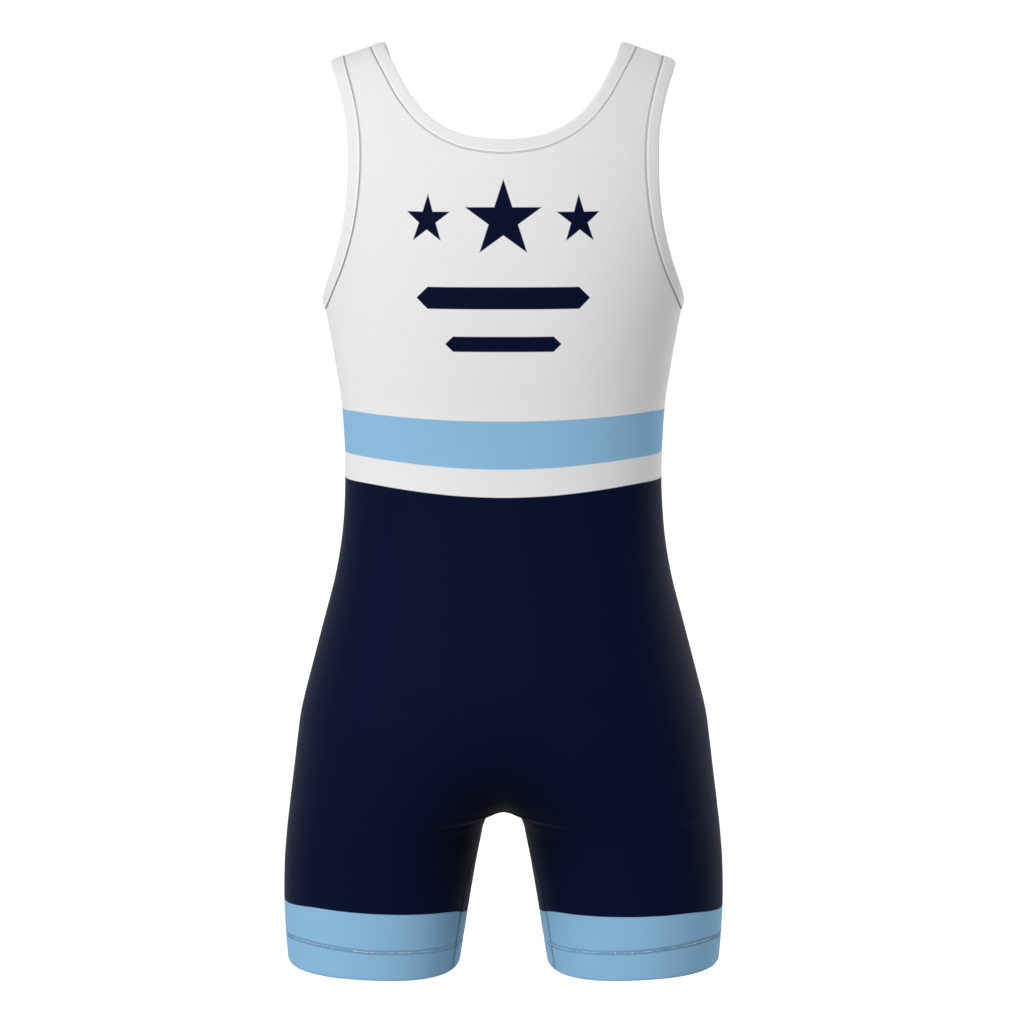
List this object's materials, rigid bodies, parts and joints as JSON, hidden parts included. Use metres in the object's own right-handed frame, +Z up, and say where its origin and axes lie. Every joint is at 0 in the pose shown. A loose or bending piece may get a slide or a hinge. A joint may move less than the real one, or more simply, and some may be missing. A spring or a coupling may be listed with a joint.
{
  "type": "wrestling singlet",
  "caption": "Sleeveless one-piece wrestling singlet with scooped neck, deep armholes, two straps and short legs, held open in its worn shape.",
  "frame": {"origin": "midway between the straps, on the line where they rest on the shoulders", "axes": "+Z up along the garment, +Y out of its front, +X towards the wearer's right side"},
  "size_m": [0.4084, 0.2497, 0.8508],
  "materials": {
    "panel_cloth": "smooth stretch knit",
    "binding_cloth": "fine ribbed stretch knit"
  },
  "bodies": {
    "root": {"back_panel": "panel_cloth", "front_panel": "panel_cloth", "neck_binding": "binding_cloth", "armhole_binding_right": "binding_cloth", "armhole_binding_left": "binding_cloth"}
  },
  "joints": []
}
